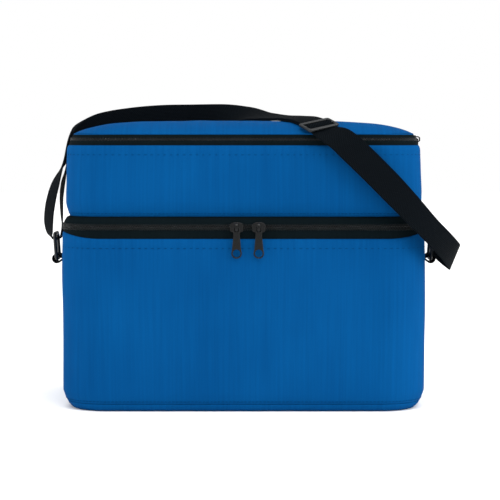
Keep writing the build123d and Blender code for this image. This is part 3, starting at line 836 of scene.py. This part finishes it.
MAIN_COIL = dict(split=MAIN_SPLIT, inset=-0.1 * MM, pitch=1.5 * MM, reach=2.9 * MM, proud=0.9 * MM)
LID_COIL = dict(split=LID_SPLIT, inset=-0.25 * MM, pitch=1.3 * MM, reach=1.6 * MM, proud=0.6 * MM)
coil("main_zip", "lower", "lower", **MAIN_COIL)
coil("main_zip", "upper", "upper", **MAIN_COIL)
coil("lid_zip", "lower", "upper", **LID_COIL)
coil("lid_zip", "upper", "lid", **LID_COIL)


def stitching(name, height, inset, body, relief, step=3.4 * MM, length=2.7 * MM):
    """A row of stitches round the bag."""
    frames = along_outline(height, inset, step, relief=relief)
    finish_piece(copies(name, bead(length, 0.6 * MM, 0.55 * MM), frames), body, THREAD_BLUE, "shell_fabric")


TOP_ROW = dict(step=STITCH_PITCH, length=3.2 * MM)
stitching("base_stitching", 9.2 * MM, 0.3 * MM, "lower", lower_slack)
stitching("lower_top_stitching", LOWER_TOP - TOPSTITCH, 0, "lower", lower_slack, **TOP_ROW)
stitching("upper_seam_stitching", UPPER_BOTTOM + 1.8 * MM, PINCH * 0.6, "upper", upper_slack)
stitching("upper_top_stitching", UPPER_TOP - TOPSTITCH, 0, "upper", upper_slack, **TOP_ROW)


# ---------------------------------------------------------------- moulded plates, rings and pulls
def smooth_loop(points, radius, steps=5):
    """A closed outline with each corner rounded."""
    loop = []
    for before, here, after in zip(points[-1:] + points[:-1], points, points[1:] + points[:1]):
        here = Vector(here)
        to_before, to_after = Vector(before) - here, Vector(after) - here
        reach = min(radius, to_before.length * 0.45, to_after.length * 0.45)
        start, end = here + to_before.normalized() * reach, here + to_after.normalized() * reach
        for i in range(steps + 1):
            t = i / steps
            loop.append(start * (1 - t) ** 2 + here * 2 * t * (1 - t) + end * t ** 2)
    return loop


def circle(centre, radius, count=28):
    """A round hole's outline."""
    return [Vector(centre) + Vector((cos(2 * pi * i / count), sin(2 * pi * i / count))) * radius
            for i in range(count)]


def plate(name, loops, thickness, bevel, matrix):
    """A flat plate with holes and rounded edges, set in place by a matrix."""
    curve = bpy.data.curves.new(name, "CURVE")
    curve.dimensions, curve.fill_mode = "2D", "BOTH"
    curve.extrude = thickness / 2 - bevel
    curve.bevel_depth, curve.bevel_resolution, curve.offset = bevel, 2, -bevel
    for loop in loops:
        spline = curve.splines.new("POLY")
        spline.points.add(len(loop) - 1)
        spline.points.foreach_set("co", np.array([(p[0], p[1], 0, 1) for p in loop]).ravel())
        spline.use_cyclic_u = True
    holder = bpy.data.objects.new(name + "_curve", curve)
    COLLECTION.objects.link(holder)
    bpy.context.view_layer.update()
    mesh = bpy.data.meshes.new_from_object(holder.evaluated_get(bpy.context.evaluated_depsgraph_get()))
    bpy.data.objects.remove(holder)
    bpy.data.curves.remove(curve)
    mesh.transform(matrix)
    mesh.polygons.foreach_set("use_smooth", [True] * len(mesh.polygons))
    piece = bpy.data.objects.new(name, mesh)
    COLLECTION.objects.link(piece)
    edges = piece.modifiers.new("edges", "EDGE_SPLIT")
    edges.split_angle = radians(40)
    return bake(piece)


def join(name, *pieces):
    """Join pieces into the first one."""
    with bpy.context.temp_override(active_object=pieces[0], selected_editable_objects=list(pieces)):
        bpy.ops.object.join()
    pieces[0].name = name
    return pieces[0]


def axes(origin, x, y, z):
    """A matrix from a place and three directions."""
    return Matrix.Translation(origin) @ Matrix((x, y, z)).transposed().to_4x4()


FACE = {"front": (Vector((1, 0, 0)), Vector((0, 0, 1)), Vector((0, -1, 0))),
        "right": (Vector((0, 1, 0)), Vector((0, 0, 1)), Vector((1, 0, 0)))}


BEVEL = 0.45 * MM
ARCH_BAR = 1.1 * MM       # thickness of a slider's bridge
ARCH_WIDTH = 2.6 * MM


def slider(name, node, face, body):
    """A slider: a waisted face plate with flanges and an arched bridge."""
    lowest, highest = (Vector(v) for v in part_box(node))
    along, up, out = FACE[face]
    middle = (lowest + highest) / 2
    depth = abs((highest - lowest).dot(out))
    length, height = abs((highest - lowest).dot(along)), highest.z - lowest.z
    back = middle - out * depth / 2
    upper_edge = [(length / 2, height * 0.36), (length * 0.2, height / 2),
                  (-length * 0.2, height / 2), (-length / 2, height * 0.36)]
    lower_edge = [(-x, -y) for x, y in upper_edge]
    thick = depth * 0.3
    face_plate = plate(name, [smooth_loop(lower_edge + upper_edge, 1.6 * MM)], thick, BEVEL,
                       axes(back + out * thick / 2, along, up, out))
    half, top = height / 2 - 0.9 * MM, depth - thick
    inner, ceiling = half - ARCH_BAR, top - ARCH_BAR
    arch = [(-half, 0), (-half, depth * 0.42), (-half * 0.55, top),
            (half * 0.55, top), (half, depth * 0.42), (half, 0),
            (inner, 0), (inner, depth * 0.38), (half * 0.4, ceiling),
            (-half * 0.4, ceiling), (-inner, depth * 0.38), (-inner, 0)]
    bridge = plate(name + "_bridge", [smooth_loop(arch, 0.6 * MM)], ARCH_WIDTH, 0.3 * MM,
                   axes(back + out * (thick - 0.2 * MM), up, out, along))
    return finish_piece(join(name, face_plate, bridge), body, PULL, "hardware", node)


def pull(name, node, face, body):
    """A pull: two legs from its crossbar, tapering out to a tab with a round hole."""
    lowest, highest = (Vector(v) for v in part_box(node))
    along, up, out = FACE[face]
    middle = (lowest + highest) / 2
    middle.z = highest.z
    width = abs((highest - lowest).dot(along))
    length = highest.z - lowest.z
    neck = width * 0.62
    eye = -length + width / 2
    flank = [(neck / 2, -0.4 * MM), (neck / 2, -length * 0.3), (width * 0.44, eye + 2.6 * MM)]
    points = [Vector(p) for p in flank]
    points += [Vector((width / 2 * cos(a), eye + width / 2 * sin(a))) for a in np.linspace(0, -pi, 17)]
    points += [Vector((-x, y)) for x, y in reversed(flank)]
    window = [(x * MM, y * MM) for x, y in ((-1.7, -1.4), (1.7, -1.4), (1.7, -4.4), (-1.7, -4.4))]
    loops = [smooth_loop(points, 1.6 * MM, 3), smooth_loop(window, 0.8 * MM), circle((0, eye), width * 0.36)]
    thick = abs((highest - lowest).dot(out))
    tab = plate(name, loops, thick, BEVEL, axes(middle, along, up, out))
    return finish_piece(tab, body, PULL, "hardware", node)


for side in ("left", "right"):
    slider(f"slider_{side}_body", f"main_slider_{side}", "front", f"slider_{side}")
    pull(f"pull_{side}_tab", f"main_pull_{side}", "front", f"pull_{side}")
slider("slider_lid_body", "lid_slider", "right", "slider_lid")
pull("pull_lid_tab", "lid_pull", "right", "pull_lid")


# ---------------------------------------------------------------- ribbons of webbing
def spline_through(points, per_span):
    """A smooth row of points through the given ones (centripetal Catmull-Rom)."""
    points = [Vector(p) for p in points]
    points = [points[0] * 2 - points[1]] + points + [points[-1] * 2 - points[-2]]
    line = []
    for p0, p1, p2, p3 in zip(points, points[1:], points[2:], points[3:]):
        t = [0.0]
        for a, b in ((p0, p1), (p1, p2), (p2, p3)):
            t.append(t[-1] + max((b - a).length, 1e-6) ** 0.5)
        for i in range(per_span):
            at = t[1] + (t[2] - t[1]) * i / per_span
            a1 = p0.lerp(p1, (at - t[0]) / (t[1] - t[0]))
            a2 = p1.lerp(p2, (at - t[1]) / (t[2] - t[1]))
            a3 = p2.lerp(p3, (at - t[2]) / (t[3] - t[2]))
            b1 = a1.lerp(a2, (at - t[0]) / (t[2] - t[0]))
            b2 = a2.lerp(a3, (at - t[1]) / (t[3] - t[1]))
            line.append(b1.lerp(b2, (at - t[1]) / (t[2] - t[1])))
    return line + [points[-2]]


def resample(places, widths, step):
    """The same ribbon with evenly spaced sections."""
    lengths = arc_lengths(np.array(places))
    count = max(int(lengths[-1] / step), 4)
    at = np.linspace(0, lengths[-1], count + 1)
    place = np.column_stack([np.interp(at, lengths, np.array(places)[:, k]) for k in range(3)])
    width = np.column_stack([np.interp(at, lengths, np.array(widths)[:, k]) for k in range(3)])
    return [Vector(p) for p in place], [Vector(w) for w in width], at


# half of a ribbon's section, as shares of its half width and half thickness; the other half is its opposite
HALF_SECTION = [(-1, -0.55), (-0.985, -0.9), (-0.94, -1), (-0.6, -1), (-0.2, -1),
                (0.2, -1), (0.6, -1), (0.94, -1), (0.985, -0.9), (1, -0.55)]
SECTION = HALF_SECTION + [(-x, -y) for x, y in HALF_SECTION]
STRAP_WIDTH, STRAP_THICK = 25 * MM, 1.4 * MM
SPLINE_STEPS = 12         # points between two stations of a route


def ribbon_frames(route, step=1.6 * MM):
    """Place, width and outward normal of each section along a route of (place, width) stations in mm."""
    places = spline_through([Vector(p) * MM for p, w in route], SPLINE_STEPS)
    widths = spline_through([Vector(w) for p, w in route], SPLINE_STEPS)
    places, widths, at = resample(places, widths, step)
    frames = []
    for i, (place, width) in enumerate(zip(places, widths)):
        tangent = (places[min(i + 1, len(places) - 1)] - places[max(i - 1, 0)]).normalized()
        width = (width - tangent * width.dot(tangent)).normalized()
        frames.append((place, width, tangent.cross(width), at[i]))
    return frames


def ribbon_mesh(name, frames, half_width=STRAP_WIDTH / 2):
    """A strip of webbing through a row of frames."""
    vertices, uvs = [], []
    count = len(SECTION)
    for place, width, normal, at in frames:
        for x, y in SECTION:
            vertices.append(place + width * x * half_width + normal * y * STRAP_THICK / 2)
            uvs.append((x * half_width, at))
    rows = len(frames)
    faces = [tuple(reversed(face)) for face in grid_faces(rows, count)]
    faces.append(tuple(range(count)))
    faces.append(tuple((rows - 1) * count + i for i in reversed(range(count))))
    return make_mesh(name, vertices, faces, uvs)


# the strap's bend under a ring's top bar, in mm
STRAP_BEND = high("strap_ring_left", 2) / MM - 2.6 - 4.6

# the strap from the left ring to the right one: stations (place in mm, direction of its width)
STRAP_ROUTE = [
    ((-175.8, 0, STRAP_BEND), (-0.02, -1, 0)),
    ((-179.6, 0, STRAP_BEND + 1.2), (0.1, -1, 0)),
    ((-182, 0, 155), (0.3, -0.95, 0)),
    ((-183.2, 0, 166), (0.4, -0.9, 0)),
    ((-181.5, 0, 182), (0.42, -0.9, 0)),
    ((-177, 1, 200), (0.38, -0.9, 0.06)),
    ((-170.5, 5, 218), (0.2, -0.88, 0.3)),
    ((-166.5, 15, 231), (0.05, -0.7, 0.6)),
    ((-164, 31, 239), (0.02, -0.4, 0.86)),
    ((-162.3, 50, 243.5), (0.02, -0.15, 0.97)),
    ((-156.5, 73, 248), (0.02, 0, 1)),
    ((-139, 92, 256), (0.03, 0.04, 0.99)),
    ((-110, 98.3, 261), (0, 0.04, 1)),
    ((-80, 98.6, 263.5), (0, 0.04, 1)),
    ((-50, 98.3, 264), (0, 0.05, 1)),
    ((-26, 94, 264.3), (0.15, 0.2, 0.95)),
    ((-4, 77, 264.8), (0.5, 0.5, 0.6)),
    ((15, 38, 262.9), (0.76, 0.42, 0.22)),
    ((31, -2, 261.6), (0.8, 0.42, 0.1)),
    ((45, -42, 261.1), (0.8, 0.5, 0.08)),
    ((57, -70, 259.2), (0.8, 0.55, 0.14)),
    ((67.5, -88.5, 254.2), (0.77, 0.58, 0.22)),
    ((76.5, -99, 248.2), (0.74, 0.48, 0.38)),
    ((86, -104.5, 243), (0.72, 0.34, 0.56)),
    ((99, -107, 231.5), (0.7, 0.15, 0.66)),
    ((124, -108, 207), (0.68, 0.15, 0.64)),
    ((147, -108, 183), (0.62, 0.35, 0.6)),
    ((167, -99, 162), (0.5, 0.5, 0.62)),
    ((182, -82, 147), (0.4, 0.4, 0.75)),
    ((191, -60, 137), (0.4, 0.15, 0.88)),
    ((193, -38, 135), (0.35, 0.05, 0.92)),
    ((189.5, -20, 138), (0.15, 0.45, 0.85)),
    ((185, -8, 144), (0, 0.85, 0.5)),
    ((181, -1, 149), (0, 1, 0.1)),
    ((176.5, 0, STRAP_BEND), (0, 1, 0)),
    ((171.6, 0, STRAP_BEND + 1.5), (0, 1, 0)),
]
# the doubled stretch from the left ring up to where it meets the strap
RETURN_SIDE_ROUTE = [
    ((-175.8, 0, STRAP_BEND), (-0.02, -1, 0)),
    ((-171.9, 0, STRAP_BEND + 1.4), (0, -1, 0)),
    ((-170.4, 0, 158), (0.05, -1, 0)),
    ((-170.8, 0, 172), (0.15, -1, 0)),
    ((-171, 0, 188), (0.2, -1, 0.02)),
    ((-169.3, 2, 204), (0.22, -0.95, 0.12)),
    ((-166.6, 7, 218), (0.12, -0.88, 0.32)),
    ((-164.4, 16, 230), (0.05, -0.72, 0.6)),
]
RETURN_GAP = 1.6 * MM     # between the strap and its doubled stretch
RETURN_STATION = 8        # where the doubled stretch meets the strap
ADJUSTER_STATION = 21
RIGHT_FOLD_STATION = 30   # where the strap passes below the right ring
FOLD_TOP = 203 * MM       # how high the left end pieces by their ring reach
WEAVE_LIFT = 3.5          # how far the strap rises over the adjuster's middle bar, in mm


def nearest(frames, station):
    """The number of the section nearest to a station of the strap's route."""
    target = Vector(STRAP_ROUTE[station][0]) * MM
    return min(range(len(frames)), key=lambda i: (frames[i][0] - target).length)


def weave_through(frames, centre):
    """Lift the strap over the adjuster's middle bar and press it under the two outer ones."""
    middle = frames[centre][3]
    woven_frames = []
    for place, width, normal, at in frames:
        off = (at - middle) / MM
        lift = WEAVE_LIFT * np.exp(-(off / 2.9) ** 2) - 0.3 * np.exp(-((abs(off) - 8) / 3) ** 2)
        woven_frames.append((place + normal * lift * MM, width, normal, at))
    return woven_frames


strap_frames = ribbon_frames(STRAP_ROUTE)
seat = nearest(strap_frames, ADJUSTER_STATION)
strap_frames = weave_through(strap_frames, seat)
first, last = nearest(strap_frames, RETURN_STATION), seat - 4
return_frames = ribbon_frames(RETURN_SIDE_ROUTE)
side_length = return_frames[-1][3]
return_frames += [(place + normal * RETURN_GAP, width, normal, at + side_length)
                  for place, width, normal, at in strap_frames[first:last]]


def webbing_piece(name, frames, node, ring=None, start=None, end=None):
    """A stretch of the strap; one that ends in a ring is left in no body, with its transform baked into its
    mesh.
    """
    piece = ribbon_mesh(name, frames)
    finish_piece(piece, None if ring else "lower", WEBBING, "webbing", node)
    if ring:
        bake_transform(piece)


LEFT_BLEND = dict(ring="ring_left", start=(-0.176, 0, 0.152), end=(-0.176, 0, 0.2))
RIGHT_BLEND = dict(ring="ring_right", start=(0.178, -0.002, 0.148), end=(0.191, -0.036, 0.135))
left_end = next(i for i, f in enumerate(strap_frames) if f[0].z > FOLD_TOP)
right_end = nearest(strap_frames, RIGHT_FOLD_STATION)
return_end = next(i for i, f in enumerate(return_frames) if f[0].z > FOLD_TOP)
webbing_piece("strap_left_fold", strap_frames[:left_end + 1], "strap_webbing", **LEFT_BLEND)
webbing_piece("shoulder_strap", strap_frames[left_end:right_end + 1], "strap_webbing")
webbing_piece("strap_right_fold", strap_frames[right_end:], "strap_webbing", **RIGHT_BLEND)
webbing_piece("strap_return_fold", return_frames[:return_end + 1], "strap_return", **LEFT_BLEND)
webbing_piece("strap_return_layer", return_frames[return_end:], "strap_return")


def adjuster():
    """A three-bar slide lying on the strap."""
    place, width, normal = strap_frames[seat][:3]
    place = place - normal * WEAVE_LIFT * MM
    along = normal.cross(width)
    half_w, half_l, slot, bar = 16.2 * MM, 9.4 * MM, 5.2 * MM, 2.4 * MM
    corners = [(-half_w, -half_l), (half_w, -half_l), (half_w, half_l), (-half_w, half_l)]
    inner = half_w - 3 * MM
    slots = [smooth_loop([(-inner, a), (inner, a), (inner, a + slot), (-inner, a + slot)], 1.2 * MM)
             for a in (bar / 2, -bar / 2 - slot)]
    return plate("adjuster_slide", [smooth_loop(corners, 3 * MM)] + slots, 2.4 * MM, 0.7 * MM,
                 axes(place + normal * 1.45 * MM, width, along, normal))


finish_piece(adjuster(), "lower", PLASTIC, "hardware", "strap_adjuster")


BAR_SIDES = 12


def tube_loop(name, loop, radii):
    """A closed bar of oval section round a loop of (place, across, out) frames."""
    vertices = []
    for place, across, out in loop:
        for s in range(BAR_SIDES):
            turn = 2 * pi * s / BAR_SIDES
            vertices.append(place + across * cos(turn) * radii[0] + out * sin(turn) * radii[1])
    faces = grid_faces(len(loop), BAR_SIDES, over=True)
    return make_mesh(name, vertices, faces, [(v.x, v.z) for v in vertices])


def lower_bar(side):
    """The middle of a ring's lower bar, which it swings about."""
    return Vector(next(j["pos_m"] for j in frame["joints"] if j["name"] == f"ring_{side}_swing"))


RING_LEAN = 4             # degrees
RING_REACH = 23 * MM      # from the middle of a ring's lower bar to the middle of its top bar
RING_BAR = (2 * MM, 1.6 * MM)          # half its thickness in the ring's plane and across it


def strap_ring(side, sign):
    """A rounded rectangular ring, leaning outwards from the bar that its tab holds."""
    node = f"strap_ring_{side}"
    bar = lower_bar(side)
    lean = radians(RING_LEAN)
    up = Vector((sign * sin(lean), 0, cos(lean)))
    out = Vector((cos(lean), 0, -sign * sin(lean)))
    half_y = (high(node, 1) - low(node, 1)) / 2 - RING_BAR[0]
    corners = [(-half_y, 0), (half_y, 0), (half_y, RING_REACH), (-half_y, RING_REACH)]
    flat = smooth_loop(corners, 4.5 * MM, 7)
    loop = []
    for i, here in enumerate(flat):
        ahead = flat[(i + 1) % len(flat)] - flat[i - 1]
        across = Vector((ahead.y, -ahead.x)).normalized()
        spread = Vector((0, across.x, 0)) + up * across.y
        loop.append((bar + Vector((0, here.x, 0)) + up * here.y, spread, out))
    ring = tube_loop(f"ring_{side}_bar", loop, RING_BAR)
    finish_piece(ring, f"ring_{side}", PLASTIC, "hardware", node)


def end_skin(height, sign):
    """How far out the lower shell's end stands at mid depth."""
    points = wall_points([(height, 0)], lower_slack, hem_lift)[0]
    ends = points[points[:, 0] * sign > 0]
    return abs(ends[np.argmin(np.abs(ends[:, 1]))][0]) / MM


TAB_LOOP, TAB_PLY = 3.9, 0.8           # the loop's radius and half the gap between its plies, in mm


def side_tab(side, sign):
    """Webbing sewn to the bag's end, standing out from it and looped round the ring's lower bar."""
    bar = lower_bar(side) / MM
    reach, radius, ply = abs(bar.x), TAB_LOOP, TAB_PLY
    bottom = low(f"side_tab_{side}", 2) / MM
    heights = np.linspace(bottom, bar.z - 7, 4)
    path = [(end_skin(z * MM, sign) + 1.0, z) for z in heights]
    skin = path[-1][0]
    path += [(skin + 1.2, bar.z - 3.2), (skin + 3.6, bar.z - ply - 0.3), (reach - 5.6, bar.z - ply)]
    path += [(reach + radius * cos(radians(a)), bar.z + radius * sin(radians(a)))
             for a in range(205, 520, 24)]
    path += [(reach - 5.6, bar.z + ply), (skin + 3.0, bar.z + ply), (skin + 0.6, bar.z + ply - 0.4)]
    frames = ribbon_frames([((sign * x, 0, z), (0, 1, 0)) for x, z in path], 0.9 * MM)
    tab = ribbon_mesh(f"tab_{side}_webbing", frames, half_width=12 * MM)
    finish_piece(tab, "lower", WEBBING, "webbing", f"side_tab_{side}")
    box_stitches(side, sign, path[0], path[3])


def box_stitches(side, sign, start, end):
    """The sewn square and cross that hold a tab to the bag."""
    out = Vector((sign, 0, 0))
    half = 9.5
    low_z, high_z = start[1] + 2, end[1] - 0.5
    corners = [(-half, low_z), (half, low_z), (half, high_z), (-half, high_z)]
    lines = list(zip(corners, corners[1:] + corners[:1]))
    lines += [(corners[0], corners[2]), (corners[1], corners[3])]
    frames = []
    for (y0, z0), (y1, z1) in lines:
        run = Vector((0, y1 - y0, z1 - z0))
        count = int(run.length / 2.9)
        for i in range(count):
            y, z = (a + (b - a) * (i + 0.5) / count for a, b in ((y0, y1), (z0, z1)))
            x = np.interp(z, (start[1], end[1]), (start[0], end[0])) + 0.75
            direction = run.normalized()
            frames.append((Vector((sign * x, y, z)) * MM, direction, out.cross(direction), out))
    piece = copies(f"tab_{side}_stitches", bead(2.2 * MM, 0.6 * MM, 0.5 * MM), frames)
    finish_piece(piece, "lower", THREAD_BLACK, "webbing")


for side, sign in (("left", -1), ("right", 1)):
    strap_ring(side, sign)
    side_tab(side, sign)


# ---------------------------------------------------------------- floor, light and camera
def floor():
    """A pale plain floor."""
    size = 6.0
    corners = [(-size, -size, 0), (size, -size, 0), (size, size, 0), (-size, size, 0)]
    mesh = bpy.data.meshes.new("studio_floor")
    mesh.from_pydata(corners, [], [(0, 1, 2, 3)])
    piece = bpy.data.objects.new("studio_floor", mesh)
    COLLECTION.objects.link(piece)
    n = Nodes("pale floor")
    n.set(Base_Color=(0.93, 0.93, 0.93, 1), Roughness=0.9, Specular_IOR_Level=0.1)
    mesh.materials.append(n.material)


def area_light(name, place, target, watts):
    """A soft square light, a metre wide, aimed at a point."""
    light = bpy.data.lights.new(name, "AREA")
    light.shape, light.size, light.size_y = "RECTANGLE", 1.0, 1.0
    light.energy = watts
    lamp = bpy.data.objects.new(name, light)
    lamp.location = place
    lamp.rotation_euler = (Vector(target) - Vector(place)).to_track_quat("-Z", "Y").to_euler()
    COLLECTION.objects.link(lamp)


def studio_world(seen, cast):
    """A white background for the camera that lights the object more gently."""
    world = bpy.data.worlds.new("studio")
    world.use_nodes = True
    tree = world.node_tree
    background = tree.nodes["Background"]
    background.inputs["Color"].default_value = (1, 1, 1, 1)
    path = tree.nodes.new("ShaderNodeLightPath")
    strength = tree.nodes.new("ShaderNodeMix")
    strength.inputs["A"].default_value = cast
    strength.inputs["B"].default_value = seen
    tree.links.new(path.outputs["Is Camera Ray"], strength.inputs["Factor"])
    tree.links.new(strength.outputs["Result"], background.inputs["Strength"])
    bpy.context.scene.world = world


def sun(name, toward, strength, spread):
    """A distant soft light shining along a direction."""
    light = bpy.data.lights.new(name, "SUN")
    light.energy, light.angle = strength, radians(spread)
    lamp = bpy.data.objects.new(name, light)
    lamp.rotation_euler = Vector(toward).to_track_quat("-Z", "Y").to_euler()
    COLLECTION.objects.link(lamp)


floor()
studio_world(1.0, 0.62)
sun("overhead", (-0.12, 0.25, -1), 2.8, 70)
area_light("right", (1.6, -0.7, 0.6), (0.05, -0.05, 0.12), 21)
area_light("left", (-1.6, -0.5, 0.6), (-0.05, -0.05, 0.12), 15)
area_light("front", (0.3, -2.2, 1.2), (0, 0, 0.12), 6)

EYE, AIM = Vector((0.0058, -1.8, 0.250)), Vector((0.0058, -0.1, 0.145))
camera = bpy.data.cameras.new("camera")
camera.lens, camera.sensor_width = 138.2, 36
eye = bpy.data.objects.new("camera", camera)
eye.location = EYE
eye.rotation_euler = (AIM - EYE).to_track_quat("-Z", "Y").to_euler()
COLLECTION.objects.link(eye)
bpy.context.scene.camera = eye
bpy.context.scene.view_settings.view_transform = "Standard"

bpy.context.view_layer.update()
